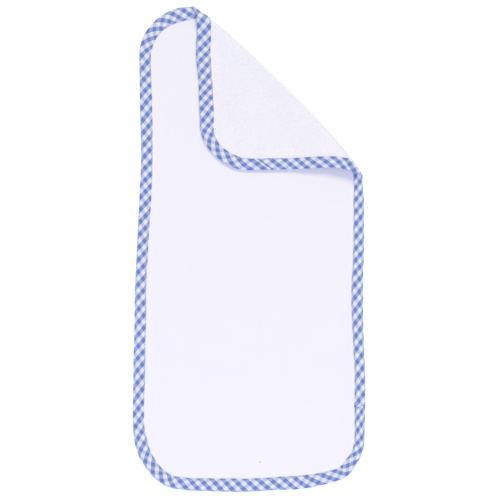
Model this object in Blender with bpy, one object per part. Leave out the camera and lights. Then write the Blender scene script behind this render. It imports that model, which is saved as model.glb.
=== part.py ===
"""Burp cloth: a white cotton panel with rounded corners, bound all round in gingham bias binding.

The cloth lies flat on its reverse, with its top right corner folded over onto its front.
Both pieces are modelled flat, as they are cut and sewn, and are then laid down with the corner folded.
Units are metres. +X is the cloth's right, +Y its top, and z = 0 is the surface that it lies on.
"""

import math
from collections import namedtuple

import bmesh
import bpy
import numpy as np
from mathutils import Vector

MM = 0.001

# The cut size of the cloth, edge to edge of its binding.
CUT_WIDTH = 240 * MM
CUT_LENGTH = 508 * MM
# The laid cloth is shifted by this much, so that it is centred on the origin.
SHIFT = (-0.6 * MM, -0.3 * MM)

# The cloth's thickness, and the folded tape round its edge.
PANEL_THICKNESS = 1.6 * MM
TAPE_THICKNESS = 0.6 * MM
SEWN_GAP = 0.3 * MM
BINDING_FRONT = 11.5 * MM
BINDING_REVERSE = 12.8 * MM
BOUND_THICKNESS = PANEL_THICKNESS + 2 * (SEWN_GAP + TAPE_THICKNESS)
# The tape's rim is rounded off by this share of half its thickness, and its pocket ends this far in,
# where it is this share of its full height.
RIM_ROUNDING = 0.3
TAPE_POCKET = 0.9 * MM
POCKET_END = 0.5

# The panel's edge stops this far inside the binding's outer rim.
PANEL_INSET = 1.6 * MM
# Past the binding the panel settles onto the surface over this distance.
SETTLE = 10 * MM

# Each corner: which side it is on, how far the laid cloth is pulled from its cut corner, how far its
# rounding reaches along the sides before and after it, and the front tape's width on the side after it.
Corner = namedtuple("Corner", "name right up pull_x pull_y before after front")
CORNERS = [
    Corner("top left", -1, 1, 6.3 * MM, 4.0 * MM, 63.7 * MM, 53.3 * MM, 11.8 * MM),
    Corner("bottom left", -1, -1, -2.7 * MM, -0.8 * MM, 71.3 * MM, 59.0 * MM, 13.4 * MM),
    Corner("bottom right", 1, -1, 2.5 * MM, 2.7 * MM, 62.7 * MM, 53.1 * MM, 11.2 * MM),
    Corner("top right", 1, 1, -4.2 * MM, -5.7 * MM, 48.1 * MM, 48.2 * MM, 13.0 * MM),
]

# Each side follows a corner, and bows outwards or inwards in a few places, given as shares of its length.
Bow = namedtuple("Bow", "after middle reach out")
BOWS = [
    Bow("top left", 0.12, 0.14, -1.5 * MM),
    Bow("top left", 0.30, 0.20, -3.7 * MM),
    Bow("top left", 0.50, 0.20, -1.1 * MM),
    Bow("top left", 0.72, 0.25, 0.4 * MM),
    Bow("bottom left", 0.45, 0.40, 2.1 * MM),
    Bow("bottom right", 0.15, 0.16, 1.6 * MM),
    Bow("bottom right", 0.38, 0.20, 0.4 * MM),
    Bow("bottom right", 0.58, 0.20, 3.3 * MM),
    Bow("top right", 0.60, 0.30, 2.5 * MM),
]

# The fold runs from the top side to the right side.
FOLD_START = Vector((-53.6 * MM, 253.0 * MM))
FOLD_END = Vector((120.2 * MM, 78.0 * MM))
FOLD_LENGTH = (FOLD_END - FOLD_START).length
FOLD_ALONG = (FOLD_END - FOLD_START).normalized()
FOLD_OUT = Vector((-FOLD_ALONG.y, FOLD_ALONG.x))

# Stations down the fold: how far it bows outwards, the radius of its roll, and how far from it the
# folded corner still stands proud of the layer below.
Station = namedtuple("Station", "share bow radius reach")
STATIONS = [
    Station(0.00, 0.0 * MM, 2.3 * MM, 20 * MM),
    Station(0.25, 4.6 * MM, 1.8 * MM, 20 * MM),
    Station(0.50, 6.6 * MM, 1.6 * MM, 20 * MM),
    Station(0.70, 6.3 * MM, 1.7 * MM, 28 * MM),
    Station(0.87, 4.4 * MM, 2.9 * MM, 45 * MM),
    Station(1.00, 0.0 * MM, 4.3 * MM, 52 * MM),
]
# This width of flat cloth goes into the roll.
ROLL_WIDTH = 9 * MM
# The fold's bow is eased out over this distance on both layers.
PULL_REACH = 85 * MM
# The folded corner rests this far above the layer below.
LAYER_GAP = 0.3 * MM

SIDE_STEP = 9 * MM
CORNER_STEPS = 16
ROLL_STEPS = 12
# Distances from the roll, on the folded corner, at which it is cut so that it can bend.
FLAP_CUTS = [4 * MM, 9 * MM, 15 * MM, 23 * MM, 33 * MM, 46 * MM, 62 * MM]
CROSS_STEP = 12 * MM
# Points closer together than this are one point.
SAME_POINT = 0.01 * MM
# Edges that turn by more than this are drawn sharp.
SHARP_TURN = math.radians(50)


def ease(share):
    """0 before 0, 1 after 1, and a smooth rise between them."""
    share = min(max(share, 0.0), 1.0)
    return share * share * (3 - 2 * share)


def at_station(column, share):
    """One column of STATIONS at this share of the fold, on a smooth curve through its rows."""
    shares = [station.share for station in STATIONS]
    values = [getattr(station, column) for station in STATIONS]
    slopes = np.gradient(values, shares)
    share = min(max(share, 0.0), 1.0)
    row = min(int(np.searchsorted(shares, share, side="right")), len(shares) - 1) - 1
    span = shares[row + 1] - shares[row]
    t = (share - shares[row]) / span
    start = (2 * t**3 - 3 * t**2 + 1) * values[row] + (t**3 - 2 * t**2 + t) * span * slopes[row]
    end = (3 * t**2 - 2 * t**3) * values[row + 1] + (t**3 - t**2) * span * slopes[row + 1]
    return start + end


def corner_point(corner):
    """Where the two sides at this corner would meet if it weren't rounded."""
    return Vector(
        (corner.right * CUT_WIDTH / 2 + corner.pull_x, corner.up * CUT_LENGTH / 2 + corner.pull_y)
    )


def corner_arc(before, corner, after):
    """The points of a corner's rounding, from the side before it to the side after it."""
    tip = corner_point(corner)
    back = (corner_point(before) - tip).normalized() * corner.before
    ahead = (corner_point(after) - tip).normalized() * corner.after
    turns = [math.pi / 2 * step / CORNER_STEPS for step in range(CORNER_STEPS + 1)]
    return [tip + back * (1 - math.sin(turn)) + ahead * (1 - math.cos(turn)) for turn in turns]


def bow_out(corner, share):
    """How far the side after this corner bows outwards at a share of its length."""
    out = 0.0
    for bow in BOWS:
        nearness = 1 - abs(share - bow.middle) / bow.reach
        if bow.after == corner.name and nearness > 0:
            out += bow.out * ease(nearness)
    return out


def outline():
    """The cloth's outer edge when it is flat, counter-clockwise from the top left corner.

    Returns its points, and the width of the tape on the front at each of them.
    """
    count = len(CORNERS)
    arcs = [corner_arc(CORNERS[i - 1], CORNERS[i], CORNERS[(i + 1) % count]) for i in range(count)]
    points = []
    fronts = []
    for i, arc in enumerate(arcs):
        before = CORNERS[i - 1].front
        change = CORNERS[i].front - before
        points += arc
        fronts += [before + change * ease(step / CORNER_STEPS) for step in range(CORNER_STEPS + 1)]
        start = arc[-1]
        side = arcs[(i + 1) % count][0] - start
        outwards = Vector((side.y, -side.x)).normalized()
        steps = math.ceil(side.length / SIDE_STEP)
        for step in range(1, steps):
            share = step / steps
            points.append(start + side * share + outwards * bow_out(CORNERS[i], share))
            fronts.append(CORNERS[i].front)
    return points, fronts


def inset(points, distance):
    """The outline moved inwards by a distance."""
    moved = []
    for i, point in enumerate(points):
        along = (points[(i + 1) % len(points)] - points[i - 1]).normalized()
        moved.append(point + Vector((-along.y, along.x)) * distance)
    return moved


def edge_distance(place, edge):
    """How far a place is from the cloth's outer edge, whose points are the rows of an array."""
    along = np.roll(edge, -1, axis=0) - edge
    towards = np.array(place) - edge
    share = np.clip((towards * along).sum(axis=1) / (along * along).sum(axis=1), 0, 1)
    return float(np.linalg.norm(towards - along * share[:, None], axis=1).min())


def half_thickness(distance):
    """Half the thickness of the cloth at a distance from its edge, bound near it and bare further in."""
    bare = ease((distance - BINDING_REVERSE) / SETTLE)
    return (BOUND_THICKNESS + (PANEL_THICKNESS - BOUND_THICKNESS) * bare) / 2


def laid(point, edge):
    """Where a point of the flat cloth lies once the corner is folded over.

    The point's z is its height above the cloth's middle layer, towards the front.
    """
    flat = point.xy - FOLD_START
    along = flat.dot(FOLD_ALONG)
    across = flat.dot(FOLD_OUT)
    off = point.z
    share = along / FOLD_LENGTH
    radius = at_station("radius", share)
    axis = at_station("bow", share) - radius - PANEL_THICKNESS / 2
    distance = edge_distance(point.xy, edge)
    middle = half_thickness(distance)
    past_roll = abs(across) - ROLL_WIDTH / 2
    pulled = (axis + ROLL_WIDTH / 2) * (1 - ease(past_roll / PULL_REACH))
    if past_roll < 0:
        turn = math.pi * (across / ROLL_WIDTH + 0.5)
        across = axis + (radius - off) * math.sin(turn)
        height = middle + radius - (radius - off) * math.cos(turn)
    elif across < 0:
        across += pulled
        height = middle + off
    else:
        across = pulled - across
        below = FOLD_START + FOLD_ALONG * along + FOLD_OUT * across
        rest = 2 * half_thickness(edge_distance(below, edge)) + LAYER_GAP + middle
        proud = 1 - ease(past_roll / at_station("reach", share))
        height = rest + (middle + 2 * radius - rest) * proud - off
    place = FOLD_START + FOLD_ALONG * along + FOLD_OUT * across
    return Vector((place.x + SHIFT[0], place.y + SHIFT[1], height))


def cut(bm, faces, place, direction):
    """Cuts some faces of a flat mesh where they meet a plane through a place, square to a direction."""
    edges = dict.fromkeys(edge for face in faces for edge in face.edges)
    verts = dict.fromkeys(vert for face in faces for vert in face.verts)
    bmesh.ops.bisect_plane(
        bm,
        geom=[*verts, *edges, *faces],
        dist=SAME_POINT,
        plane_co=place.to_3d(),
        plane_no=direction.to_3d(),
    )


def cut_for_fold(bm):
    """Cuts a flat mesh along the lines on which the folded corner bends."""
    roll = [(step / ROLL_STEPS - 0.5) * ROLL_WIDTH for step in range(ROLL_STEPS + 1)]
    for across in roll + [ROLL_WIDTH / 2 + flap_cut for flap_cut in FLAP_CUTS]:
        cut(bm, bm.faces[:], FOLD_START + FOLD_OUT * across, FOLD_OUT)


def cut_across_fold(bm):
    """Cuts the folded corner of a flat mesh square to the fold, so that it can follow the fold's bow."""
    for step in range(1, math.ceil(FOLD_LENGTH / CROSS_STEP)):
        corner = [
            face
            for face in bm.faces
            if (face.calc_center_median().xy - FOLD_START).dot(FOLD_OUT) > -ROLL_WIDTH / 2
        ]
        cut(bm, corner, FOLD_START + FOLD_ALONG * step * CROSS_STEP, FOLD_ALONG)


def lay_down(bm, edge):
    """Folds the flat mesh's corner over and lays the cloth on the surface."""
    bmesh.ops.triangulate(bm, faces=bm.faces[:])
    for vert in bm.verts:
        vert.co = laid(vert.co, edge)
    bmesh.ops.recalc_face_normals(bm, faces=bm.faces[:])


def new_material(name, colour, roughness):
    """A plain cloth finish."""
    material = bpy.data.materials.new(name)
    material.use_nodes = True
    shader = material.node_tree.nodes["Principled BSDF"]
    shader.inputs["Base Color"].default_value = (*colour, 1)
    shader.inputs["Roughness"].default_value = roughness
    shader.inputs["Metallic"].default_value = 0
    return material


def add_piece(name, bm, material, collection):
    """Turns a finished mesh into a named object in the cloth's collection."""
    mesh = bpy.data.meshes.new(name)
    bm.to_mesh(mesh)
    bm.free()
    mesh.materials.append(material)
    mesh.shade_smooth()
    mesh.set_sharp_from_angle(angle=SHARP_TURN)
    piece = bpy.data.objects.new(name, mesh)
    collection.objects.link(piece)
    return piece


def build_panel(points):
    """The cotton panel, flat: its outline with rings where it settles past the binding, made solid."""
    bm = bmesh.new()
    verts = [bm.verts.new((*point, PANEL_THICKNESS / 2)) for point in inset(points, PANEL_INSET)]
    middle = bm.faces.new(verts)
    middle.normal_update()
    rings = [BINDING_REVERSE - PANEL_INSET, SETTLE / 2, SETTLE / 2]
    for width in rings:
        bmesh.ops.inset_region(
            bm, faces=[middle], thickness=width, use_boundary=True, use_even_offset=True
        )
    cut_for_fold(bm)
    cut_across_fold(bm)
    grown = bmesh.ops.extrude_face_region(bm, geom=bm.faces[:], use_keep_orig=True)
    under = [item for item in grown["geom"] if isinstance(item, bmesh.types.BMVert)]
    bmesh.ops.translate(bm, verts=under, vec=(0, 0, -PANEL_THICKNESS))
    return bm


def tape_section():
    """The folded tape's section: x is the distance in from its outer rim, y is the height off the middle."""
    outer = BOUND_THICKNESS / 2
    inner = outer - TAPE_THICKNESS
    near_rim = RIM_ROUNDING * outer
    rim_height = outer - near_rim
    pocket_height = POCKET_END * inner
    full_height = TAPE_POCKET + TAPE_THICKNESS
    return [
        (BINDING_FRONT, outer),
        (outer, outer),
        (near_rim, rim_height),
        (0, 0),
        (near_rim, -rim_height),
        (outer, -outer),
        (BINDING_REVERSE, -outer),
        (BINDING_REVERSE, -inner),
        (full_height, -inner),
        (TAPE_POCKET, -pocket_height),
        (TAPE_POCKET, pocket_height),
        (full_height, inner),
        (BINDING_FRONT, inner),
    ]


def closed_curve(name, points):
    """A flat closed curve with straight stretches between its points."""
    curve = bpy.data.curves.new(name, "CURVE")
    curve.dimensions = "2D"
    curve.fill_mode = "NONE"
    spline = curve.splines.new("POLY")
    spline.points.add(len(points) - 1)
    for place, point in zip(spline.points, points):
        place.co = (*point, 0, 1)
    spline.use_cyclic_u = True
    guide = bpy.data.objects.new(name, curve)
    guide.hide_render = True
    guide.display_type = "WIRE"
    return guide


def trim_front(bm, edge, fronts):
    """Moves the front tape's inner edge to its width at each point of the outline."""
    for vert in bm.verts:
        distance = edge_distance(vert.co.xy, edge)
        if vert.co.z > 0 and distance > BINDING_FRONT - SEWN_GAP:
            towards = edge - np.array(vert.co.xy)
            nearest = int(np.linalg.norm(towards, axis=1).argmin())
            vert.co += Vector((*towards[nearest], 0)) * (1 - fronts[nearest] / distance)


def build_binding(points, fronts, guides):
    """The bias binding, flat: the folded tape's section carried round the cloth's outline."""
    section = closed_curve("tape_section", tape_section())
    path = closed_curve("binding_path", points)
    path.data.bevel_mode = "OBJECT"
    path.data.bevel_object = section
    for guide in (section, path):
        guides.objects.link(guide)
    bpy.context.view_layer.update()
    mesh = bpy.data.meshes.new_from_object(path.evaluated_get(bpy.context.evaluated_depsgraph_get()))
    bm = bmesh.new()
    bm.from_mesh(mesh)
    bpy.data.meshes.remove(mesh)
    for guide in (path, section):
        bpy.data.objects.remove(guide)
    bmesh.ops.remove_doubles(bm, verts=bm.verts[:], dist=SAME_POINT)
    trim_front(bm, np.array(points), fronts)
    cut_for_fold(bm)
    return bm


def main():
    for old in list(bpy.data.objects):
        bpy.data.objects.remove(old)
    cloth = bpy.data.collections.new("burp_cloth")
    guides = bpy.data.collections.new("guides")
    for collection in (cloth, guides):
        bpy.context.scene.collection.children.link(collection)

    points, fronts = outline()
    edge = np.array(points)

    panel = build_panel(points)
    lay_down(panel, edge)
    add_piece("panel", panel, new_material("white_cotton", (0.90, 0.90, 0.96), 0.9), cloth)

    binding = build_binding(points, fronts, guides)
    lay_down(binding, edge)
    add_piece("binding", binding, new_material("blue_gingham", (0.45, 0.53, 0.82), 0.85), cloth)


main()
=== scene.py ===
"""Burp cloth: a white cotton panel bound in gingham bias tape, laid flat with one corner folded over.

The panel, the tape and its stitches are made flat, as they are cut and sewn. The same fold then lays
each of them down, so that they stay together wherever the cloth bends.
Units are metres. +X is the cloth's right, +Y its top, and z = 0 is the surface that it lies on.
"""

from __future__ import annotations

import logging
import math
from dataclasses import dataclass
from enum import Enum
from typing import Callable, Iterable, Sequence

import bmesh
import bpy
import numpy as np
from mathutils import Matrix, Vector

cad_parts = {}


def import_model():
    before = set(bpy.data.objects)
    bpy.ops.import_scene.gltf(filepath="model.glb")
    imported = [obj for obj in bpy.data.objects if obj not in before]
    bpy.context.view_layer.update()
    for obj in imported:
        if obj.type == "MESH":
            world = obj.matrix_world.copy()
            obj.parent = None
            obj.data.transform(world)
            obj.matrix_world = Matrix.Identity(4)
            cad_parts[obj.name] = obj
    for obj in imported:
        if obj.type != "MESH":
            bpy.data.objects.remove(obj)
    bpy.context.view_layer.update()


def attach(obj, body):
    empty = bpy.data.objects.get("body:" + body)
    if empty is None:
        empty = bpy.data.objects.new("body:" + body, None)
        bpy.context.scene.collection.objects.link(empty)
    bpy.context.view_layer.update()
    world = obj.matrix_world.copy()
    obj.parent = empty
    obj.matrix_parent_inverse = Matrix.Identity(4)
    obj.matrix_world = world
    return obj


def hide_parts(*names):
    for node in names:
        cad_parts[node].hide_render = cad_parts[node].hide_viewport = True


log = logging.getLogger("burp_cloth")

MM = 0.001
# Points closer together than this are one point.
SAME_POINT = 0.002 * MM

Array = np.ndarray
Pair = tuple[float, float]
Triple = tuple[float, float, float]
Colour = tuple[float, float, float, float]


def ease(share: Array | float) -> Array:
    """0 before 0, 1 after 1, and a smooth rise between them."""
    share = np.clip(share, 0.0, 1.0)
    return share * share * (3 - 2 * share)


def through_rows(rows: Sequence[Sequence[float]], column: int, at: Array) -> Array:
    """A smooth curve through one column of a table.

    Args:
        rows: The table's rows, which start with their places, in rising order.
        column: The number of the column.
        at: Where the curve is wanted.

    Returns:
        The curve's value at each place asked for, and the end values beyond the table.
    """
    table = np.array(rows, dtype=float)
    places, values = table[:, 0], table[:, column]
    slopes = np.gradient(values, places)
    at = np.clip(at, places[0], places[-1])
    row = np.clip(np.searchsorted(places, at, side="right") - 1, 0, len(places) - 2)
    span = places[row + 1] - places[row]
    t = (at - places[row]) / span
    bulge = t * (1 - t) * span * ((1 - t) * slopes[row] - t * slopes[row + 1])
    return values[row] + (values[row + 1] - values[row]) * ease(t) + bulge


class Face(Enum):
    """The two faces of the cloth and its rim, with the direction in which each looks when it is flat."""

    FRONT = 1
    RIM = 0
    REVERSE = -1


@dataclass(frozen=True)
class Corner:
    """One corner of the cut cloth, in millimetres.

    Sizes: how far the laid cloth is pulled from its cut corner, how far its rounding reaches along the
    sides before and after it, and the tape's width on the front along the side after it.
    """

    name: str
    right: int
    up: int
    pull: Pair
    before: float
    after: float
    front: float


@dataclass(frozen=True)
class Bow:
    """Where the side after a corner bows out, as shares of its length, and by how many millimetres."""

    after: str
    middle: float
    reach: float
    out: float


@dataclass(frozen=True)
class Nudge:
    """A place on the cut edge that lies a little aside of its side or rounding, in millimetres."""

    place: Pair
    reach: float
    move: Pair


@dataclass(frozen=True)
class CutShape:
    """The cloth's outer edge when it is flat, counter-clockwise from the top left corner."""

    width: float = 240 * MM
    length: float = 508 * MM
    side_step: float = 1.5 * MM
    corner_steps: int = 48
    corners: tuple[Corner, ...] = (
        Corner("top left", -1, 1, (6.3, 4.0), 63.7, 53.3, 11.8),
        Corner("bottom left", -1, -1, (-2.7, -0.8), 71.3, 59.0, 13.4),
        Corner("bottom right", 1, -1, (2.5, 2.7), 62.7, 53.1, 11.2),
        Corner("top right", 1, 1, (-4.2, -5.7), 48.1, 48.2, 13.0),
    )
    bows: tuple[Bow, ...] = (
        Bow("top left", 0.12, 0.14, -1.5), Bow("top left", 0.30, 0.20, -3.7),
        Bow("top left", 0.50, 0.20, -1.1), Bow("top left", 0.72, 0.25, 0.4),
        Bow("bottom left", 0.45, 0.40, 1.7), Bow("bottom right", 0.15, 0.16, 1.6),
        Bow("bottom right", 0.38, 0.20, 0.4), Bow("bottom right", 0.58, 0.20, 3.3),
        Bow("bottom right", 0.775, 0.09, -1.4), Bow("top right", 0.60, 0.30, 2.5),
    )
    nudges: tuple[Nudge, ...] = (
        Nudge((-114, 108), 45, (0.6, 0)), Nudge((-117, 28), 45, (0.6, 0)),
        Nudge((-120, -78), 40, (0.5, 0)), Nudge((-121, -194), 20, (0.5, 0)),
        Nudge((-107, -231), 16, (0.4, 0.5)), Nudge((-70, -253), 16, (0, 1.2)),
        Nudge((75, -250), 30, (0, 2.2)), Nudge((103, -237), 16, (0.9, -1.3)),
        Nudge((122, 27), 30, (-0.7, 0)), Nudge((102, 234), 40, (-0.9, -0.9)),
        Nudge((64, 249), 30, (0, -0.9)), Nudge((-68, 251), 14, (0, -0.9)),
        Nudge((-61.5, 253.5), 5, (0, -0.8)),
    )

    def corner_tip(self, corner: Corner) -> Array:
        """Where the two sides at a corner would meet if it weren't rounded."""
        half = np.array([corner.right * self.width / 2, corner.up * self.length / 2])
        return half + np.array(corner.pull) * MM

    def corner_arc(self, index: int) -> Array:
        """The points of one corner's rounding, from the side before it to the side after it."""
        corner = self.corners[index]
        tip = self.corner_tip(corner)
        back = self.corner_tip(self.corners[index - 1]) - tip
        ahead = self.corner_tip(self.corners[(index + 1) % len(self.corners)]) - tip
        back *= corner.before * MM / np.linalg.norm(back)
        ahead *= corner.after * MM / np.linalg.norm(ahead)
        turn = np.linspace(0, math.pi / 2, self.corner_steps + 1)[:, None]
        return tip + back * (1 - np.sin(turn)) + ahead * (1 - np.cos(turn))

    def bow_out(self, corner: Corner, share: Array) -> Array:
        """How far the side after a corner bows outwards at shares of its length."""
        out = np.zeros_like(share)
        for bow in self.bows:
            if bow.after == corner.name:
                out += bow.out * ease(1 - np.abs(share - bow.middle) / bow.reach)
        return out * MM

    def points(self) -> tuple[Array, Array]:
        """The edge's points as rows of x and y, and the tape's width on the front at each of them."""
        arcs = [self.corner_arc(index) for index in range(len(self.corners))]
        points: list[Array] = []
        fronts: list[Array] = []
        for index, arc in enumerate(arcs):
            corner = self.corners[index]
            before = self.corners[index - 1].front
            change = ease(np.linspace(0, 1, len(arc)))
            points.append(arc)
            fronts.append(before + (corner.front - before) * change)
            side = arcs[(index + 1) % len(arcs)][0] - arc[-1]
            length = float(np.linalg.norm(side))
            outwards = np.array([side[1], -side[0]]) / length
            steps = math.ceil(length / self.side_step)
            share = np.arange(1, steps) / steps
            bowed = np.outer(self.bow_out(corner, share), outwards)
            points.append(arc[-1] + np.outer(share, side) + bowed)
            fronts.append(np.full(len(share), corner.front))
        return self.nudged(np.concatenate(points)), np.concatenate(fronts) * MM

    def nudged(self, points: Array) -> Array:
        """Moves the edge's points near each nudged place."""
        for nudge in self.nudges:
            apart = np.linalg.norm(points / MM - np.array(nudge.place), axis=1)
            points = points + np.outer(ease(1 - apart / nudge.reach), nudge.move) * MM
        return points


class CutEdge:
    """The cut shape's edge as a closed path that can be followed, and measured to."""

    # Distances are measured to a path through every third point, for this many places at a time.
    stride = 3
    block = 4000

    def __init__(self, shape: CutShape) -> None:
        """Measures the path round a cut shape."""
        self.points, fronts = shape.points()
        self._loop = np.vstack([self.points, self.points[:1]])
        self._front_loop = np.append(fronts, fronts[0])
        lengths = np.linalg.norm(np.diff(self._loop, axis=0), axis=1)
        self.run = np.concatenate([[0.0], np.cumsum(lengths)])
        self.length = float(self.run[-1])
        self._corners = self.points[:: self.stride]

    def at(self, run: Array, smoothing: float = 2 * MM) -> tuple[Array, Array, Array]:
        """Follows the edge.

        Args:
            run: Distances along the edge, which may pass its end and go round again.
            smoothing: The direction is taken between points this far before and after.

        Returns:
            The places on the edge, the directions into the cloth, and the tape's width on the front.
        """
        before = self._place(run - smoothing)
        after = self._place(run + smoothing)
        along = after - before
        along /= np.linalg.norm(along, axis=1)[:, None]
        inwards = np.stack([-along[:, 1], along[:, 0]], axis=1)
        front = np.interp(run % self.length, self.run, self._front_loop)
        return self._place(run), inwards, front

    def _place(self, run: Array) -> Array:
        """The places on the edge at distances along it."""
        run = np.asarray(run) % self.length
        return np.stack([np.interp(run, self.run, self._loop[:, axis]) for axis in (0, 1)], axis=1)

    def nearest_run(self, place: Sequence[float]) -> float:
        """The distance along the edge of its point nearest to a place."""
        towards = self.points - np.asarray(place)
        return float(self.run[int(np.linalg.norm(towards, axis=1).argmin())])

    def distance(self, places: Array) -> Array:
        """How far places in the plane are from the edge."""
        along = np.roll(self._corners, -1, axis=0) - self._corners
        squares = (along * along).sum(axis=1)
        found = []
        for block in np.array_split(places, max(1, len(places) // self.block)):
            towards = block[:, None, :] - self._corners[None]
            share = np.clip((towards * along).sum(axis=2) / squares, 0, 1)
            apart = towards - along * share[:, :, None]
            found.append(np.linalg.norm(apart, axis=2).min(axis=1))
        return np.concatenate(found)


@dataclass(frozen=True)
class Crease:
    """A soft ridge in the laid cloth, along a short arc, in millimetres.

    A bulge bends the arc to its left.
    """

    start: Pair
    end: Pair
    width: float
    height: float
    bulge: float
    # Shares of its length: where it starts to grow before its start, how far it grows, where it has
    # faded past its end, and how far it fades. Its crest is a bell with this share of its width.
    early: float = 0.12
    growing: float = 0.35
    late: float = 0.25
    fading: float = 0.55
    bell: float = 0.42

    def rise(self, x: Array, y: Array) -> Array:
        """How high it stands at places, in millimetres."""
        span = math.dist(self.start, self.end)
        ahead = np.subtract(self.end, self.start) / span
        east, north = x - self.start[0], y - self.start[1]
        gone = (east * ahead[0] + north * ahead[1]) / span
        beside = north * ahead[0] - east * ahead[1] - self.bulge * 4 * gone * (1 - gone)
        fade = ease((gone + self.early) / self.growing) * ease((1 + self.late - gone) / self.fading)
        return self.height * fade * np.exp(-((beside / (self.bell * self.width)) ** 2))


@dataclass(frozen=True)
class FoldedCorner:
    """The fold that lays the cloth on the surface with its top right corner turned over."""

    start: Pair = (-53.6 * MM, 253.0 * MM)
    end: Pair = (120.2 * MM, 78.0 * MM)
    shift: Pair = (-0.6 * MM, -0.3 * MM)
    roll_width: float = 9 * MM
    pull_reach: float = 85 * MM
    layer_gap: float = 0.3 * MM
    panel_thickness: float = 1.6 * MM
    bound_thickness: float = 3.4 * MM
    bound_width: float = 12.8 * MM
    settle: float = 10 * MM
    # The turned-over corner is pressed this much thinner, from one distance past the roll on.
    press: float = 0.26
    press_start: float = 52 * MM
    press_reach: float = 32 * MM
    # Each row is a share of the fold's length and, in millimetres, how far it bows outwards, the radius
    # of its roll, and how far from it the turned-over corner still stands proud of the layer below.
    stations: tuple[tuple[float, ...], ...] = (
        (0.00, 0.0, 2.3, 20), (0.25, 4.6, 1.8, 20), (0.50, 6.6, 1.6, 20), (0.70, 6.3, 1.8, 40),
        (0.80, 5.57, 2.8, 64), (0.87, 4.4, 3.2, 66), (0.93, 2.54, 3.4, 60), (1.00, 0.0, 4.0, 52),
    )
    # How far the roll is pushed in at shares of its length, in millimetres, and how far past it.
    dents: tuple[Pair, ...] = (
        (-0.04, 1.0), (0.00, 1.8), (0.03, 1.7), (0.055, 0.6), (0.08, 0.0), (0.12, -0.5),
        (0.22, -0.5), (0.35, -0.2), (0.50, -0.1), (0.62, -0.6), (0.70, -0.4), (0.80, 0.0),
        (0.87, 0.2), (0.93, 1.1), (0.97, 1.4), (1.00, 0.5), (1.05, 0.0),
    )
    dent_reach: float = 7 * MM
    # How high the laid cloth stands in its long and its short waves, in millimetres.
    long_wave: float = 0.07
    short_wave: float = 0.02
    # Where it buckles a little, as start, end, width, height and bulge.
    creases: tuple[Crease, ...] = (
        Crease((-99, 200), (-76, 227), 7, 0.45, 2), Crease((-98, 178), (-80, 197), 6, 0.30, 2),
        Crease((-97, 150), (-82, 168), 8, 0.25, 0), Crease((-96, 106), (-80, 134), 8, 0.30, -3),
        Crease((-99, 20), (-72, 43), 9, 0.25, 0), Crease((-101, -50), (-82, -87), 9, 0.25, 0),
        Crease((-105, -119), (-75, -153), 8, 0.30, 3), Crease((-103, -165), (-84, -189), 7, 0.20, 2),
        Crease((103, -133), (77, -196), 7, 0.50, -6), Crease((103, -154), (84, -201), 5, 0.35, -4),
        Crease((102, -205), (86, -226), 4, 0.45, -3), Crease((96, -104), (88, -128), 8, 0.20, 0),
        Crease((-60, 52), (-38, 75), 10, 0.20, 0), Crease((2, 205), (26, 180), 9, 0.30, -2),
        Crease((-32, 150), (-8, 120), 9, 0.20, 2),
    )

    @property
    def length(self) -> float:
        """The fold's length along its chord."""
        return math.hypot(self.end[0] - self.start[0], self.end[1] - self.start[1])

    @property
    def along(self) -> Array:
        """The direction down the fold."""
        return (np.array(self.end) - np.array(self.start)) / self.length

    @property
    def out(self) -> Array:
        """The direction from the flat cloth towards the corner that is turned over."""
        return np.array([-self.along[1], self.along[0]])

    def half_thickness(self, distance: Array) -> Array:
        """Half the thickness of the cloth at distances from its edge."""
        bare = ease((distance - self.bound_width) / self.settle)
        return (self.bound_thickness + (self.panel_thickness - self.bound_thickness) * bare) / 2

    def across(self, places: Array) -> Array:
        """How far places on the flat cloth are out from the fold, towards its corner."""
        return (places - np.array(self.start)) @ self.out

    def kept_loft(self, across: Array) -> Array:
        """The share of its thickness that the cloth keeps, at distances out from the fold when flat."""
        past = across - self.roll_width / 2 - self.press_start
        return 1 - self.press * ease(past / self.press_reach)

    def buckle(self, places: Array) -> Array:
        """How far the laid cloth stands off the surface at places where it waves or creases.

        The waves' numbers are their lengths over 2 pi, in millimetres, and shifts that keep them uneven.
        """
        x, y = places[:, 0] / MM, places[:, 1] / MM
        long = np.sin(x / 31 + 0.4) * np.cos(y / 43 + 1.1) + 0.6 * np.sin((x + y) / 23 + 2.0)
        short = np.sin(x / 11.3 + 0.9 * np.sin(y / 17)) * np.cos(y / 13.1 + 0.7)
        height = self.long_wave * (long + 1.6) + self.short_wave * (short + 1)
        return (height + sum(crease.rise(x, y) for crease in self.creases)) * MM

    def lay(self, flat: Array, edge: CutEdge, distance: Array | None = None) -> Array:
        """Lays the flat cloth down with its corner turned over.

        Args:
            flat: Rows of x, y and height off the cloth's middle layer, towards the front.
            edge: The cloth's outer edge.
            distance: How far each point is from the edge, if that is known.

        Returns:
            Where each point lies.
        """
        if distance is None:
            distance = edge.distance(flat[:, :2])
        along = (flat[:, :2] - np.array(self.start)) @ self.along
        across, off = self.across(flat[:, :2]), flat[:, 2]
        share = along / self.length
        bow, radius, reach = (through_rows(self.stations, column, share) * MM for column in (1, 2, 3))
        axis = bow - radius - self.panel_thickness / 2
        middle = self.half_thickness(distance)
        past_roll = np.abs(across) - self.roll_width / 2
        pulled = (axis + self.roll_width / 2) * (1 - ease(past_roll / self.pull_reach))
        turn = math.pi * (np.clip(across / self.roll_width, -0.5, 0.5) + 0.5)
        turned_over = (past_roll >= 0) & (across > 0)
        rolled = past_roll < 0

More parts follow.
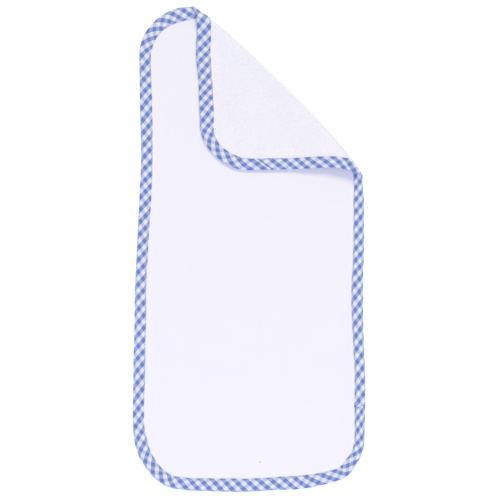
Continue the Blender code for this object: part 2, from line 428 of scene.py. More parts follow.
        new_across = np.where(turned_over, pulled - across, across + pulled)
        new_across = np.where(rolled, axis + (radius - off) * np.sin(turn), new_across)
        dent = through_rows(self.dents, 1, share) * MM
        new_across -= dent * (1 - ease(past_roll / self.dent_reach))
        below = np.array(self.start) + along[:, None] * self.along + new_across[:, None] * self.out
        under = np.full(len(flat), self.bound_thickness / 2)
        if turned_over.any():
            under[turned_over] = self.half_thickness(edge.distance(below[turned_over]))
        rest = 2 * under + (self.layer_gap + middle) * self.kept_loft(across)
        proud = 1 - ease(past_roll / reach)
        over = rest + (middle + 2 * radius - rest) * proud - off
        height = np.where(turned_over, over, middle + off)
        height = np.where(rolled, middle + radius - (radius - off) * np.cos(turn), height)

        places = below + np.array(self.shift)
        return np.column_stack([places, height + self.buckle(places)])


def sign(operation: str, swapped: bool = False) -> Callable[[Signal, Signal | float], Signal]:
    """A signal's method for one of the usual signs, whose two sides may be swapped."""

    def combine(this: Signal, other: Signal | float) -> Signal:
        """Adds the sign's node."""
        sides = (other, this) if swapped else (this, other)
        return this.bench.maths(operation, *sides)

    return combine


class Signal:
    """A number that varies over a surface, as an output of a material's nodes.

    The usual signs add, subtract, multiply and divide it.
    """

    def __init__(self, bench: Bench, socket: bpy.types.NodeSocket) -> None:
        """Wraps an output socket of a bench's material."""
        self.bench = bench
        self.socket = socket

    __add__ = __radd__ = sign("ADD")
    __mul__ = __rmul__ = sign("MULTIPLY")
    __sub__ = sign("SUBTRACT")
    __rsub__ = sign("SUBTRACT", swapped=True)
    __truediv__ = sign("DIVIDE")

    def waved(self) -> Signal:
        """A wave with a length of 1 that runs from 0 to 1."""
        return 0.5 + 0.5 * self.bench.maths("SINE", self * (2 * math.pi))

    def part(self) -> Signal:
        """What is left of it above a whole number."""
        return self.bench.maths("FRACT", self)

    def size(self) -> Signal:
        """Its size without its sign."""
        return self.bench.maths("ABSOLUTE", self)

    def whole(self) -> Signal:
        """The whole number below it."""
        return self.bench.maths("FLOOR", self)

    def rise(self, low: float, high: float) -> Signal:
        """A smooth rise from 0 to 1 as it goes from low to high."""
        settings = {"interpolation_type": "SMOOTHSTEP"}
        inputs = {0: self, 1: low, 2: high, 3: 0.0, 4: 1.0}
        return self.bench.add("ShaderNodeMapRange", settings, inputs)


class Bench:
    """Adds nodes to one material and joins them."""

    def __init__(self, name: str) -> None:
        """Makes a material with only its shader and output."""
        self.material = bpy.data.materials.new(name)
        self.material.use_nodes = True
        self.tree = self.material.node_tree
        self.shader = self.tree.nodes["Principled BSDF"]

    def add(self, kind: str, settings: dict, inputs: dict, output: int | str = 0) -> Signal:
        """Adds one node.

        Args:
            kind: The node's type.
            settings: The node's own settings.
            inputs: Values or signals for its sockets, by number or name.
            output: Which output is wanted.

        Returns:
            That output.
        """
        node = self.tree.nodes.new(kind)
        for key, value in settings.items():
            setattr(node, key, value)
        for key, value in inputs.items():
            self.join(node.inputs[key], value)
        return Signal(self, node.outputs[output])

    def join(self, socket: bpy.types.NodeSocket, value: object) -> None:
        """Sets a socket to a value, or links a signal to it."""
        if isinstance(value, Signal):
            self.tree.links.new(value.socket, socket)
        else:
            socket.default_value = value

    def maths(self, operation: str, *values: Signal | float) -> Signal:
        """Adds a Math node."""
        return self.add("ShaderNodeMath", {"operation": operation}, dict(enumerate(values)))

    def blend(self, share: Signal | float, first: object, second: object) -> Signal:
        """Mixes two colours."""
        settings = {"data_type": "RGBA", "clamp_factor": True}
        return self.add("ShaderNodeMix", settings, {0: share, 6: first, 7: second}, 2)

    def parted(self, place: Signal) -> tuple[Signal, Signal, Signal]:
        """A place as a vector, then its first two numbers."""
        first = self.add("ShaderNodeSeparateXYZ", {}, {0: place})
        return place, first, Signal(self, first.socket.node.outputs[1])

    def flat_map(self, name: str) -> tuple[Signal, Signal, Signal]:
        """A piece's own flat map of this name, as a vector, then its two numbers."""
        return self.parted(self.add("ShaderNodeUVMap", {"uv_map": name}, {}))

    def object_place(self) -> tuple[Signal, Signal, Signal]:
        """The place on the object as a vector, then its x and y."""
        return self.parted(self.add("ShaderNodeTexCoord", {}, {}, "Object"))

    def mark(self, name: str) -> Signal:
        """A number that the mesh holds at each of its points."""
        return self.add("ShaderNodeAttribute", {"attribute_name": name}, {}, "Fac")

    def patches(self, place: Signal, scale: float, detail: float = 2.0) -> Signal:
        """Soft uneven patches between 0 and 1, about 1 / scale of a metre across."""
        inputs = {"Vector": place, "Scale": scale, "Detail": detail, "Roughness": 0.55}
        return self.add("ShaderNodeTexNoise", {"noise_dimensions": "2D"}, inputs)

    def set_shader(self, **inputs: object) -> None:
        """Sets the shader's sockets, which are named with _ for each space."""
        for name, value in inputs.items():
            self.join(self.shader.inputs[name.replace("_", " ")], value)

    def cloth(self, colour: Signal, roughness: float, sheen: float) -> bpy.types.Material:
        """The material, with this colour and the shader's constants for dull cotton."""
        self.set_shader(Base_Color=colour, Roughness=roughness, Metallic=0.0)
        self.set_shader(Specular_IOR_Level=0.2, Sheen_Weight=sheen, Sheen_Roughness=0.6)
        return self.material

    def set_relief(self, height: Signal, depth: float) -> None:
        """Gives the surface a fine relief of this depth."""
        inputs = {"Strength": 1.0, "Distance": depth, "Height": height}
        self.set_shader(Normal=self.add("ShaderNodeBump", {}, inputs))

    def ramp(self, share: Signal, stops: dict[float, Colour]) -> Signal:
        """A colour that runs through these stops as the share goes through their places."""
        colour = self.add("ShaderNodeValToRGB", {}, {0: share})
        elements = colour.socket.node.color_ramp.elements
        while len(elements) < len(stops):
            elements.new(1.0)
        for element, place in zip(elements, stops):
            element.position = place
            element.color = stops[place]
        return colour


@dataclass(frozen=True)
class CottonFinish:
    """White cotton: a fine smooth knit on the front, and small soft loops on the reverse."""

    name: str = "white_cotton_knit"
    front: Colour = (0.810, 0.807, 0.832, 1)
    # The shade colours are darker tones for random mottling, and for painted shade in the gaps of the
    # knit and between the loops.
    front_shade: Colour = (0.790, 0.787, 0.816, 1)
    reverse: Colour = (0.815, 0.811, 0.836, 1)
    reverse_shade: Colour = (0.745, 0.741, 0.782, 1)
    # Painted shade along the fold's roll, a bluish grey.
    crease: Colour = (0.600, 0.602, 0.660, 1)
    lint: Colour = (0.42, 0.41, 0.44, 1)
    wale: float = 1.15 * MM
    course: float = 0.85 * MM
    loop: float = 1.25 * MM
    relief: float = 0.16 * MM
    # A speck of lint on the front.
    speck: Pair = (12.0 * MM, -223.6 * MM)
    speck_size: float = 0.75 * MM

    def make(self) -> bpy.types.Material:
        """Builds the material."""
        bench = Bench(self.name)
        place, x, y = bench.flat_map("cut")
        reverse, rolled = bench.mark("reverse"), bench.mark("rolled")
        knit = self.knit(x, y)
        loops = self.loops(bench, place)
        slow = bench.patches(place, 38.0)
        clumps = bench.patches(place, 330.0)
        # Darker in random slow patches, and painted shade in the knit's gaps.
        front = bench.blend(slow * 0.8 + knit * 0.2, self.front_shade, self.front)
        # Darker in random clumps and patches, and painted shade between the loops.
        mottle_and_loop_shade = (clumps * 0.9 + slow * 0.35 + loops * 0.45 - 0.35).rise(0.0, 1.0)
        back = bench.blend(mottle_and_loop_shade, self.reverse_shade, self.reverse)
        cloth = bench.blend(reverse, front, back)
        # Paints shade along the fold's roll, patchy with the clumps.
        fold_shaded = bench.blend(rolled * (0.75 + 0.5 * clumps), cloth, self.crease)
        specked = bench.blend(self.lint_mask(bench, x, y, reverse), fold_shaded, self.lint)
        relief = knit * (1 - reverse) * 0.45 + (loops * 0.7 + clumps * 0.6) * reverse
        bench.set_relief(relief + slow * 0.3, self.relief)
        return bench.cloth(specked, 0.92, 0.12)

    def knit(self, x: Signal, y: Signal) -> Signal:
        """The height of a smooth knit: wales of small stitches that lean towards each other."""
        across = (x / self.wale).part()
        lean = (across - 0.5).size()
        stitch = (y / self.course + lean).waved()
        rib = (lean * 2).rise(1.0, 0.25)
        return rib * (0.55 + 0.45 * stitch)

    def loops(self, bench: Bench, place: Signal) -> Signal:
        """The height of a field of small loops that stand close together."""
        settings = {"voronoi_dimensions": "2D", "feature": "SMOOTH_F1"}
        inputs = {"Vector": place, "Scale": 1 / self.loop, "Smoothness": 0.6, "Randomness": 0.85}
        return 1 - bench.add("ShaderNodeTexVoronoi", settings, inputs)

    def lint_mask(self, bench: Bench, x: Signal, y: Signal, reverse: Signal) -> Signal:
        """1 at the speck on the front, and 0 elsewhere."""
        east, north = x - self.speck[0], y - self.speck[1]
        apart = bench.maths("SQRT", east * east + north * north)
        return (1 - (apart / self.speck_size).rise(0.6, 1.2)) * (1 - reverse)


@dataclass(frozen=True)
class GinghamFinish:
    """Gingham bias tape: blue and white stripes that cross in a plain weave.

    The tape's flat map counts repeats of the check in each direction of the weave.
    """

    name: str = "gingham_tape"
    white: Colour = (0.752, 0.757, 0.785, 1)
    pale: Colour = (0.500, 0.540, 0.718, 1)
    strong: Colour = (0.290, 0.376, 0.645, 1)
    dark: Colour = (0.142, 0.215, 0.498, 1)
    threads: int = 22
    # How much of the blue each set of stripes brings.
    strong_share: float = 0.56
    pale_share: float = 0.27
    relief: float = 0.07 * MM

    def make(self) -> bpy.types.Material:
        """Builds the material."""
        bench = Bench(self.name)
        place, first, second = bench.flat_map("check")
        uneven = bench.patches(place, 2.3, 3.0) - 0.5
        first_blue = self.stripe(first + uneven * 0.03)
        second_blue = self.stripe(second - uneven * 0.03)
        over = self.first_on_top(first, second)
        mean = first_blue * self.strong_share + second_blue * self.pale_share
        both = first_blue * second_blue * (1 - self.strong_share - self.pale_share)
        top = over * first_blue + (1 - over) * second_blue
        thread = top - 0.5 * (first_blue + second_blue)
        blue = mean + both + thread * 0.22 + uneven * 0.10 * first_blue
        places = (0.0, self.pale_share, self.strong_share, 1.0)
        stops = dict(zip(places, (self.white, self.pale, self.strong, self.dark)))
        weave = over * self.thread_round(first) + (1 - over) * self.thread_round(second)
        bench.set_relief(weave, self.relief)
        return bench.cloth(bench.ramp(blue, stops), 0.85, 0.08)

    def stripe(self, count: Signal) -> Signal:
        """1 on the blue half of each repeat, with edges about as soft as one thread."""
        middle = (count.part() - 0.5).size()
        soft = 0.8 / self.threads
        return 1 - middle.rise(0.25 - soft, 0.25 + soft)

    def first_on_top(self, first: Signal, second: Signal) -> Signal:
        """1 where the first set of threads lies over the second in a plain weave."""
        steps = (first * self.threads).whole() + (second * self.threads).whole()
        return ((steps * 0.5).part() * 2).rise(0.4, 0.6)

    def thread_round(self, count: Signal) -> Signal:
        """The rounded height across each thread."""
        middle = ((count * self.threads).part() - 0.5) * 2
        return 1 - middle * middle


@dataclass(frozen=True)
class ThreadFinish:
    """Blue sewing thread, twisted from fine plies."""

    name: str = "blue_sewing_thread"
    colour: Colour = (0.30, 0.37, 0.68, 1)
    # Painted shade in the grooves between the plies.
    shade: Colour = (0.20, 0.25, 0.54, 1)
    twist: float = 0.45 * MM
    relief: float = 0.03 * MM

    def make(self) -> bpy.types.Material:
        """Builds the material."""
        bench = Bench(self.name)
        _, x, y = bench.object_place()
        ply = ((x + y) / self.twist).waved()
        bench.set_relief(ply, self.relief)
        # The colour is darker in the grooves between the plies: painted shade.
        return bench.cloth(bench.blend(ply, self.shade, self.colour), 0.6, 0.05)


@dataclass(frozen=True)
class FloorFinish:
    """A plain pale studio floor."""

    name: str = "pale_floor"
    colour: Colour = (0.62, 0.62, 0.62, 1)
    shade: Colour = (0.6138, 0.6138, 0.6138, 1)
    glow: Colour = (0.643, 0.714, 1.0, 1)
    glow_strength: float = 0.7

    def make(self) -> bpy.types.Material:
        """Builds the material."""
        bench = Bench(self.name)
        grain = bench.patches(bench.object_place()[0], 3.0)
        material = bench.cloth(bench.blend(grain, self.shade, self.colour), 0.9, 0.0)
        bench.set_shader(Specular_IOR_Level=0.0, Emission_Color=self.glow)
        bench.set_shader(Emission_Strength=self.glow_strength)
        return material


def to_mesh(name: str, bm: bmesh.types.BMesh) -> bpy.types.Mesh:
    """Turns modelled faces into a new mesh, and frees them."""
    mesh = bpy.data.meshes.new(name)
    bm.to_mesh(mesh)
    bm.free()
    return mesh


def add_object(name: str, data: bpy.types.ID) -> bpy.types.Object:
    """Adds an object to the scene for a mesh, a lamp or a camera."""
    added = bpy.data.objects.new(name, data)
    bpy.context.scene.collection.objects.link(added)
    return added


def add_piece(mesh: bpy.types.Mesh, material: bpy.types.Material) -> bpy.types.Object:
    """Puts a finished mesh in the scene as a piece of the cloth with the mesh's name."""
    mesh.materials.append(material)
    mesh.shade_smooth()
    log.info("%s: %d points, %d faces", mesh.name, len(mesh.vertices), len(mesh.polygons))
    return add_object(mesh.name, mesh)


def read_points(mesh: bpy.types.Mesh) -> Array:
    """The mesh's points, as rows of x, y and z."""
    flat = np.empty(len(mesh.vertices) * 3, dtype=np.float32)
    mesh.vertices.foreach_get("co", flat)
    return flat.reshape(-1, 3).astype(float)


def write_points(mesh: bpy.types.Mesh, points: Array) -> None:
    """Moves the mesh's points."""
    mesh.vertices.foreach_set("co", points.astype(np.float32).ravel())
    mesh.update()


def write_map(mesh: bpy.types.Mesh, name: str, numbers: Array) -> None:
    """Gives the mesh a flat map from two numbers for each of its points."""
    corners = np.empty(len(mesh.loops), dtype=np.int32)
    mesh.loops.foreach_get("vertex_index", corners)
    layer = mesh.uv_layers.new(name=name)
    layer.data.foreach_set("uv", numbers[corners].astype(np.float32).ravel())


@dataclass
class CottonPanel:
    """The white cotton panel, from its flat cut shape to the laid sheet."""

    fold: FoldedCorner
    edge: CutEdge
    finish: CottonFinish = CottonFinish()
    thickness: float = 1.6 * MM
    inset: float = 1.6 * MM
    step: float = 2.1 * MM
    roll_step: float = 0.6 * MM
    # The roll is cut finely over this much more than its width.
    roll_margin: float = 3 * MM
    # The rim has this many points, and its direction is taken over this far before and after each.
    rim_points: int = 480
    rim_smoothing: float = 4 * MM
    # The painted shade along the fold: its middle, its half width and its fade.
    shade_middle: float = -0.8 * MM
    shade_core: float = 0.6075 * MM
    shade_fade: float = 4.05 * MM

    def cut_lines(self, low: float, high: float, fine: bool) -> list[float]:
        """Distances at which the sheet is cut, from low to high, closer at the roll if fine."""
        lines = [low]
        half = self.fold.roll_width / 2 + self.roll_margin
        while lines[-1] < high:
            near_roll = fine and abs(lines[-1] + self.roll_step) < half
            lines.append(lines[-1] + (self.roll_step if near_roll else self.step))
        return lines

    def slice(self, bm: bmesh.types.BMesh, lines: Iterable[float], direction: Array) -> None:
        """Cuts the flat sheet along parallel lines, one after the other.

        Only the faces that are still ahead of a line are passed to the next cut.
        """
        normal = Vector((*direction, 0))
        start = Vector((*self.fold.start, 0))
        ahead = bm.faces[:]
        for line in lines:
            place = start + normal * line
            edges = dict.fromkeys(edge for face in ahead for edge in face.edges)
            verts = dict.fromkeys(vert for face in ahead for vert in face.verts)
            done = bmesh.ops.bisect_plane(
                bm,
                geom=[*verts, *edges, *ahead],
                dist=SAME_POINT,
                plane_co=place,
                plane_no=normal,
            )
            faces = [item for item in done["geom"] if isinstance(item, bmesh.types.BMFace)]
            ahead = [face for face in faces if (face.calc_center_median() - place).dot(normal) > 0]
            if not ahead:
                return

    def build(self) -> bpy.types.Object:
        """Cuts, thickens and lays down the sheet."""
        bm = bmesh.new()
        rows = np.linspace(0, self.edge.length, self.rim_points, endpoint=False)
        places, inwards, _ = self.edge.at(rows, self.rim_smoothing)
        rim = places + inwards * self.inset
        bm.faces.new([bm.verts.new((x, y, self.thickness / 2)) for x, y in rim])
        away = rim - np.array(self.fold.start)
        for direction, fine in ((self.fold.out, True), (self.fold.along, False)):
            reach = away @ direction
            self.slice(bm, self.cut_lines(reach.min(), reach.max(), fine), direction)
        grown = bmesh.ops.extrude_face_region(bm, geom=bm.faces[:], use_keep_orig=True)
        under = [item for item in grown["geom"] if isinstance(item, bmesh.types.BMVert)]
        bmesh.ops.translate(bm, verts=under, vec=(0, 0, -self.thickness))
        bmesh.ops.recalc_face_normals(bm, faces=bm.faces[:])
        mesh = to_mesh("cotton_panel", bm)
        flat = read_points(mesh)
        write_map(mesh, "cut", flat[:, :2])
        # rolled: where the painted shade along the fold falls.
        aside = np.abs(self.fold.across(flat[:, :2]) - self.shade_middle)
        rolled = 1 - ease((aside - self.shade_core) / self.shade_fade)
        for name, numbers in (("reverse", flat[:, 2] < 0), ("rolled", rolled)):
            layer = mesh.attributes.new(name, "FLOAT", "POINT")
            layer.data.foreach_set("value", numbers.astype(np.float32))
        write_points(mesh, self.fold.lay(flat, self.edge))
        return add_piece(mesh, self.finish.make())


@dataclass(frozen=True)
class TapePoint:
    """A point of the folded tape's section, in millimetres.

    Its distance in from the rim is a fixed part and a share of the tape's width, its height is off the
    cloth's middle layer, and its crown is how far the tape puffs up there.
    """

    fixed: float
    share: float
    height: float
    crown: float = 0.0


@dataclass
class GinghamBinding:
    """The bias tape folded over the cloth's edge, with its ends lapped on the right side."""

    fold: FoldedCorner
    edge: CutEdge
    finish: GinghamFinish = GinghamFinish()
    reverse_width: float = 12.8 * MM
    step: float = 0.7 * MM
    stitch_step: float = 2.1 * MM
    # The tape's start lies over its end, and is cut at a slant.
    lap: float = 6 * MM
    lap_rise: float = 0.5 * MM
    lap_fade: float = 16 * MM
    end_slant: float = 0.24
    # Where the join is on the right side.
    join: Pair = (122.4 * MM, -163.7 * MM)
    # Where the strip itself was pieced, as a count of its first stripes, and how wide the piecing is.
    piecing: float = 25.46
    piecing_width: float = 0.42
    piecing_gain: float = 0.58
    piecing_depth: float = 0.22 * MM
    # Only the outside of the tape has the piecing's trough. It is higher than this.
    outside: float = 1.2 * MM
    # Each stitch pulls the tape down by this much, in the section's rows whose fixed part is under this.
    dimple: float = 0.10 * MM
    dimple_start: float = -0.3 * MM
    # The end of the tape is tucked in under its start by this much, over this far.
    tuck: float = 0.6 * MM
    tuck_fade: float = 1.5 * MM
    # The lap and the tuck move the rim out and in by these shares of themselves.
    rim_out: float = 0.4
    rim_in: float = 0.6
    # The side that lies below keeps this share of its crown.
    crown_kept: float = 0.2
    # The tape's small puffs, and the share of them that its sewn edge loses.
    puff_height: float = 0.05 * MM
    puff_lost: float = 0.75
    # The side that lies below changes over this many widths of the roll.
    turning: float = 1.4
    # How much wider the tape is on each side, in millimetres, at millimetres from the join.
    front_changes: tuple[Pair, ...] = (
        (75, 0.0), (92, 1.0), (115, 1.0), (135, 0.4), (160, 0.3), (190, -0.3), (220, -0.4),
        (233, -1.6), (250, -0.8), (275, 0.0), (510, 0.0), (550, 0.6), (575, 1.5), (595, 1.6),
        (612, 0.7), (640, 1.1), (656, 0.2), (670, 0.0), (700, 1.0), (716, 1.0), (748, 0.0),
        (775, 0.5), (830, 0.3), (870, -0.2), (925, 0.2), (1000, 0.2), (1030, -0.2), (1046, 0.1),
        (1060, 1.6), (1073, 1.2), (1090, 0.2), (1135, -0.2), (1170, 0.1), (1182, 0.7), (1196, 0.7),
        (1214, 0.0), (1235, 0.2), (1252, 0.9), (1285, -0.4), (1298, -0.6), (1313, 0.4), (1330, -0.4),
        (1400, 0.0),
    )
    reverse_changes: tuple[Pair, ...] = (
        (220, 0.0), (250, -1.0), (275, -1.9), (300, -1.4), (322, -2.3), (345, -1.5), (362, -1.0),
        (376, -0.2), (395, -0.8), (412, -0.6), (435, 0.9), (465, 0.9), (482, 0.3), (510, 1.0),
        (575, 1.0), (612, 0.5), (640, 0.0),
    )
    # The front half of the section, from the sewn edge to the rim.
    section: tuple[TapePoint, ...] = (
        TapePoint(0.00, 1, 0.84), TapePoint(-0.04, 1, 1.12),
        TapePoint(-0.22, 1, 1.36), TapePoint(-0.55, 1, 1.38),
        TapePoint(-0.95, 1, 1.30), TapePoint(-1.45, 1, 1.42),
        TapePoint(-0.30, 0.80, 1.58, 0.16), TapePoint(0.00, 0.62, 1.66, 0.22),
        TapePoint(0.20, 0.42, 1.69, 0.20), TapePoint(3.00, 0, 1.68, 0.10),
        TapePoint(1.90, 0, 1.58, 0.03), TapePoint(1.10, 0, 1.34),
        TapePoint(0.50, 0, 0.98), TapePoint(0.14, 0, 0.52),
    )
    # The hidden inner side of the front half, from the rim to the sewn edge.
    lining: tuple[TapePoint, ...] = (
        TapePoint(0.90, 0, 0.45), TapePoint(1.50, 0, 1.05), TapePoint(-1.50, 1, 0.86),
    )
    # How many repeats of each set of stripes have gone by at millimetres from the join.
    counted: tuple[Triple, ...] = (
        (-8, 0.05, -0.95), (0, 0.60, -0.35), (60, 4.85, 4.15), (121, 9.35, 8.80),
        (181, 14.05, 13.40), (211, 16.35, 15.70), (242, 18.95, 18.05), (272, 21.40, 20.50),
        (302, 23.70, 22.85), (332, 26.10, 25.65), (362, 28.25, 28.20), (393, 30.00, 30.70),
        (423, 31.90, 33.00), (453, 34.15, 35.65), (483, 36.65, 38.75), (513, 39.15, 41.40),
        (544, 41.35, 44.25), (574, 43.40, 47.20), (604, 45.55, 49.65), (634, 47.50, 52.15),
        (664, 49.60, 54.55), (694, 51.90, 57.35), (725, 54.15, 60.05), (755, 56.50, 62.50),
        (815, 61.00, 67.70), (876, 65.60, 72.35), (936, 70.05, 77.20), (996, 74.75, 81.80),
        (1027, 76.90, 84.30), (1057, 78.90, 87.00), (1087, 81.20, 88.95), (1147, 85.60, 93.25),
        (1178, 88.15, 95.85), (1238, 92.95, 100.80), (1268, 95.20, 103.60), (1298, 97.10, 106.35),
        (1329, 99.10, 108.65), (1359, 101.15, 110.75), (1404, 104.70, 114.15),
    )
    # How fast each count changes from the cut edge inwards, in repeats for each millimetre.
    slants: tuple[Triple, ...] = (
        (0, -0.100, 0.115), (150, -0.100, 0.120), (250, -0.105, 0.120), (300, -0.110, 0.120),
        (390, -0.097, 0.110), (480, -0.087, 0.110), (760, -0.088, 0.108), (1030, -0.096, 0.111),
        (1150, -0.082, 0.111), (1270, -0.090, 0.110), (1330, -0.102, 0.126), (1390, -0.130, 0.150),
    )

    @property
    def start(self) -> float:
        """Where the tape starts, as a distance along the cloth's edge."""
        return self.edge.nearest_run(self.join)

    @property
    def length(self) -> float:
        """The tape's cut length, once round the cloth and its lap."""
        return self.edge.length + self.lap

    def rows(self) -> tuple[Array, Array, Array, Array]:
        """The section's points in order: round the outside, then back along the inside.

        Returns:
            The side of each point, 1 for the front and -1 for the reverse, with 0 at the rim, its fixed
            distance in, its share of the width, and its height and crown as rows of two.
        """
        ring = [(Face.FRONT, point) for point in self.section]
        ring += [(Face.RIM, TapePoint(0, 0, 0))]
        ring += [(Face.REVERSE, point) for point in (*self.section[::-1], *self.lining[::-1])]
        ring += [(Face.FRONT, point) for point in self.lining]
        sides = np.array([face.value for face, _ in ring], dtype=float)
        fixed = np.array([point.fixed for _, point in ring]) * MM
        share = np.array([point.share for _, point in ring])
        heights = np.array([(point.height, point.crown) for _, point in ring]) * MM
        return sides, fixed, share, heights

    def turned(self, places: Array) -> Array:
        """1 where the flat cloth is turned over, 0 where it isn't, and a smooth change over the roll."""
        return ease(self.fold.across(places) / (self.turning * self.fold.roll_width) + 0.5)

    def width_change(self, run: Array, side: Array) -> Array:
        """How much wider or narrower the tape is sewn here than is usual on each side of the cloth."""
        front = through_rows(self.front_changes, 1, run / MM)
        return np.where(side > 0, front, through_rows(self.reverse_changes, 1, run / MM)) * MM

    def wander(self, run: Array, side: Array) -> Array:
        """How far the tape's sewn edge wanders from its even width."""
        mm = run / MM
        return (0.16 * np.sin(mm / 9.7 + side) + 0.12 * np.sin(mm / 4.3 + 2 * side + 0.6)) * MM

    def flat_place(self, run: Array, row: Array) -> tuple[Array, Array, Array]:
        """Where points of the tape are on the flat cloth.

        Args:
            run: Each point's distance along the tape.
            row: Each point's number in the section's ring.

        Returns:
            The points as rows of x, y and height, their distances from the cloth's edge, and how many
            repeats of each set of stripes lie before them.
        """
        sides, fixed, share, heights = self.rows()
        side = sides[row]
        _, _, front = self.edge.at(self.start + run)
        slanted = self.end_slant * (fixed[row] + share[row] * front)
        run = run - slanted * (1 - ease(run / self.lap_fade))
        place, inwards, front = self.edge.at(self.start + run)
        width = np.where(side > 0, front, self.reverse_width) + self.wander(run, side)
        width = width + self.width_change(run, side)
        stitched = share[row] == 1
        dimple = 0.5 - 0.5 * np.cos(2 * math.pi * run / self.stitch_step)
        dimple = self.dimple * dimple * stitched * (fixed[row] < self.dimple_start)
        turned = self.turned(place)
        up = np.where(side > 0, 1 - turned, turned)
        height = heights[row, 0] + heights[row, 1] * (self.crown_kept + (1 - self.crown_kept) * up)
        height = height - dimple + self.puff(run, row) * (1 - self.puff_lost * stitched)
        lifted = self.lap_rise * (1 - ease(run / self.lap_fade))
        tucked = self.tuck * ease((run - self.edge.length) / self.tuck_fade)
        kept = self.fold.kept_loft(self.fold.across(place))
        height = (height + lifted * (side > 0) - tucked) * kept * side
        distance = fixed[row] + share[row] * width
        distance = distance - (self.rim_out * lifted - self.rim_in * tucked) * (share[row] == 0)
        across = front - distance * np.where(side > 0, 1, -1)
        counts = self.check_counts(run, across)
        beside = (counts[:, 0] - self.piecing) / self.piecing_width
        trough = self.piecing_depth * np.exp(-((2 * beside) ** 2))
        height = height - side * trough * (height * side > self.outside)
        counts[:, 0] += self.piecing_gain * ease(beside + 0.5)
        flat = np.column_stack([place + inwards * distance[:, None], height])
        return flat, np.clip(distance, 0, None), counts

    def puff(self, run: Array, row: Array) -> Array:
        """Small uneven puffs of the tape between its rim and its sewn edge."""
        mm = run / MM
        wave = np.sin(mm / 3.1 + 0.5 * row) * np.sin(mm / 7.9 + 1.3)
        return self.puff_height * (wave + 0.6 * np.sin(mm / 5.3 - 0.35 * row))

    def check_counts(self, run: Array, across: Array) -> Array:
        """How many repeats of each set of stripes lie before points of the tape."""
        mm = run / MM
        counts = [
            through_rows(self.counted, column, mm) + through_rows(self.slants, column, mm) * across / MM
            for column in (1, 2)
        ]
        return np.column_stack(counts)

    def build(self) -> bpy.types.Object:
        """Cuts the tape flat, folds it round the cloth's edge and lays it down."""
        ring = len(self.rows()[0])
        steps = round(self.length / self.step)
        bm = bmesh.new()
        bmesh.ops.create_grid(bm, x_segments=steps, y_segments=ring, size=0.5)
        mesh = to_mesh("gingham_binding", bm)
        grid = read_points(mesh) + 0.5
        run = grid[:, 0] * self.length
        row = np.rint(grid[:, 1] * ring).astype(int) % ring
        flat, distance, counts = self.flat_place(run, row)
        write_map(mesh, "check", counts)
        write_points(mesh, self.fold.lay(flat, self.edge, distance))
        self.close(mesh)
        return add_piece(mesh, self.finish.make())

    def close(self, mesh: bpy.types.Mesh) -> None:
        """Joins the section's last row to its first, and closes the tape's two ends."""
        bm = bmesh.new()
        bm.from_mesh(mesh)
        bmesh.ops.remove_doubles(bm, verts=bm.verts[:], dist=SAME_POINT)
        bmesh.ops.holes_fill(bm, edges=[edge for edge in bm.edges if edge.is_boundary])
        bmesh.ops.recalc_face_normals(bm, faces=bm.faces[:])
        bm.to_mesh(mesh)
        bm.free()


@dataclass
class EdgeStitches:
    """The row of machine stitches that holds each edge of the tape."""

    binding: GinghamBinding
    finish: ThreadFinish = ThreadFinish()
    length: float = 1.55 * MM
    width: float = 0.30 * MM
    height: float = 0.22 * MM
    # The row of the section that the stitches lie on, and how far ahead of each its direction is taken.
    row: int = 4
    lead: float = 0.2 * MM

    def loose(self, count: int) -> bpy.types.Mesh:
        """Makes this many rounded stitches, all at the origin and one after another in the mesh."""
        one = bpy.data.meshes.new("stitch")
        bm = bmesh.new()
        size = Matrix.Diagonal((self.length / 2, self.width / 2, self.height / 2, 1))
        bmesh.ops.create_uvsphere(bm, u_segments=6, v_segments=5, radius=1.0, matrix=size)
        bm.to_mesh(one)
        for _ in range(count - 1):
            bm.from_mesh(one)
        bpy.data.meshes.remove(one)
        return to_mesh("edge_stitches", bm)

    def build(self) -> bpy.types.Object:
        """Makes both rows of stitches and lays them down with the tape."""
        binding = self.binding
        ring = len(binding.rows()[0])
        back_row = 2 * len(binding.section) - self.row
        count = int(binding.edge.length / binding.stitch_step)
        middles = np.tile((np.arange(count) + 0.5) * binding.stitch_step, 2)
        rows = np.repeat([self.row, back_row % ring], count)
        faces = np.repeat([Face.FRONT.value, Face.REVERSE.value], count)
        places, _, _ = binding.flat_place(middles, rows)
        leads, _, _ = binding.flat_place(middles + self.lead, rows)

        mesh = self.loose(2 * count)
        shaped = read_points(mesh).reshape(2 * count, -1, 3)
        ahead = (leads - places)[:, :2]
        ahead /= np.linalg.norm(ahead, axis=1)[:, None]
        left = np.column_stack([-ahead[:, 1], ahead[:, 0]])
        flat = shaped[:, :, :1] * ahead[:, None] + shaped[:, :, 1:2] * left[:, None]
        height = shaped[:, :, 2] + (places[:, 2] + faces * self.height / 4)[:, None]
        spots = np.dstack([flat + places[:, None, :2], height]).reshape(-1, 3)
        write_points(mesh, binding.fold.lay(spots, binding.edge))
        return add_piece(mesh, self.finish.make())


@dataclass(frozen=True)
class Lamp:
    """A soft square lamp that faces the cloth."""

    name: str
    place: Triple
    size: float
    power: float
    colour: Triple


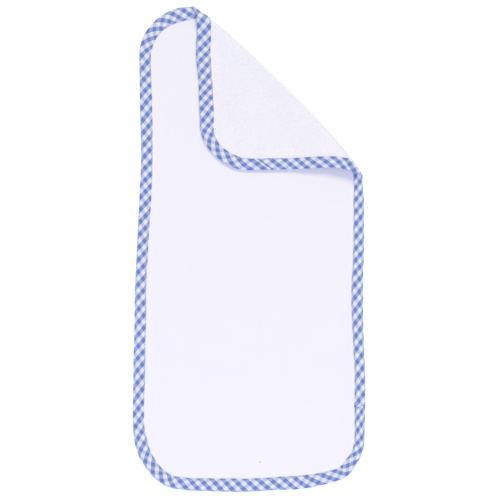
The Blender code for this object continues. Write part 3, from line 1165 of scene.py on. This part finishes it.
@dataclass
class Studio:
    """A plain pale floor, soft light and a camera that looks straight down on the cloth."""

    middle: Pair = (0.975 * MM, -1.35 * MM)
    view_width: float = 525 * MM
    camera_height: float = 2.0
    sensor: float = 36.0
    floor_size: float = 8.0
    floor_drop: float = 0.02 * MM
    sky: Colour = (0.53, 0.656, 1.0, 1)
    sky_strength: float = 0.79
    lamps: tuple[Lamp, ...] = (
        Lamp("key", (0.78, 3.65, 2.61), 1.3, 128.0, (1.0, 0.828, 0.35)),
        Lamp("fill", (-0.1, -1.6, 1.6), 2.2, 34.0, (1.0, 0.872, 0.80)),
    )

    def build(self) -> None:
        """Sets up the floor, the light and the camera."""
        scene = bpy.context.scene
        scene.view_settings.view_transform = "Standard"
        scene.view_settings.look = "None"
        self.add_floor()
        self.add_sky()
        for lamp in self.lamps:
            self.add_lamp(lamp)
        self.add_camera()

    def add_floor(self) -> None:
        """Lays the floor just under the cloth."""
        bm = bmesh.new()
        bmesh.ops.create_grid(bm, x_segments=1, y_segments=1, size=self.floor_size / 2)
        bmesh.ops.translate(bm, verts=bm.verts[:], vec=(0, 0, -self.floor_drop))
        mesh = to_mesh("floor", bm)
        mesh.materials.append(FloorFinish().make())
        floor = add_object("floor", mesh)

    def add_sky(self) -> None:
        """Adds even light from all round."""
        world = bpy.data.worlds.new("studio")
        world.use_nodes = True
        background = world.node_tree.nodes["Background"]
        background.inputs["Color"].default_value = self.sky
        background.inputs["Strength"].default_value = self.sky_strength
        bpy.context.scene.world = world

    def add_lamp(self, lamp: Lamp) -> None:
        """Adds one lamp."""
        light = bpy.data.lights.new(lamp.name, "AREA")
        light.shape = "SQUARE"
        light.size = lamp.size
        light.energy = lamp.power
        light.color = lamp.colour
        stand = add_object(lamp.name, light)
        stand.location = lamp.place
        stand.rotation_euler = (-Vector(lamp.place)).to_track_quat("-Z", "Y").to_euler()

    def add_camera(self) -> None:
        """Puts the camera straight above the middle of the picture."""
        camera = bpy.data.cameras.new("camera")
        camera.sensor_width = self.sensor
        camera.lens = self.sensor * self.camera_height / self.view_width
        stand = add_object("camera", camera)
        stand.location = (*self.middle, self.camera_height)
        bpy.context.scene.camera = stand


def main() -> None:
    """Builds the cloth round the frame."""
    logging.basicConfig(level=logging.INFO, format="%(name)s %(message)s")
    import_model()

    shape = CutShape()
    edge = CutEdge(shape)
    fold = FoldedCorner()
    panel = CottonPanel(fold, edge).build()
    binding = GinghamBinding(fold, edge)
    tape = binding.build()
    stitches = EdgeStitches(binding).build()

    for piece, slot in ((panel, "white_cotton"), (tape, "blue_gingham"), (stitches, "blue_gingham")):
        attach(piece, "root")
    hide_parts("panel")
    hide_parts("binding")
    shape.length
    Studio().build()


if __name__ == "__main__":
    main()
